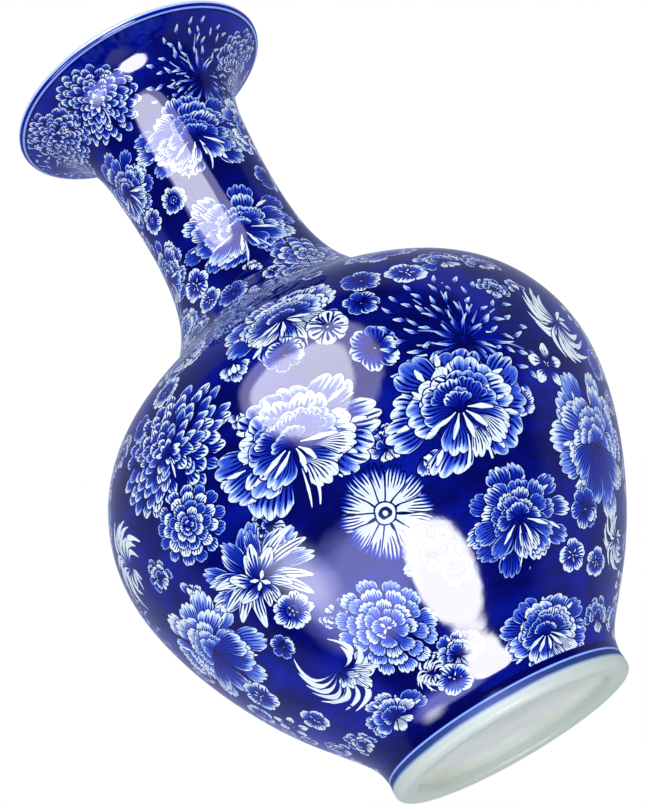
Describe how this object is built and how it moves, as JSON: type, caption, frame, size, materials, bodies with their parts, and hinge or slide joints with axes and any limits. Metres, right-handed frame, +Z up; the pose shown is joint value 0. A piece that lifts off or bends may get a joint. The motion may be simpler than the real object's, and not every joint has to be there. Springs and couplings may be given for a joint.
{
  "type": "bottle vase",
  "caption": "Tall porcelain bottle vase with a round belly, waisted neck and wide flared mouth, covered in white flowers on deep blue.",
  "frame": {"origin": "centre of the standing face of the foot ring", "axes": "+Z up along the vase's axis of revolution, +X and +Y across it"},
  "size_m": [0.2272, 0.2272, 0.352],
  "materials": {
    "cobalt_decor": "deep cobalt blue with white and pale blue flowers under a clear high-gloss glaze",
    "white_glaze": "clear glaze over white porcelain",
    "foot_porcelain": "thin satin glaze over grey-white porcelain, bare on the standing edge",
    "slip": "fired porcelain slip, hidden in the joints"
  },
  "bodies": {
    "root": {"foot_ring": "foot_porcelain", "base_plate": "white_glaze", "lower_belly": "cobalt_decor", "upper_belly": "cobalt_decor", "neck": "cobalt_decor", "mouth": "cobalt_decor", "foot_slip": "slip", "belly_slip": "slip", "shoulder_slip": "slip", "mouth_slip": "slip"}
  },
  "joints": []
}
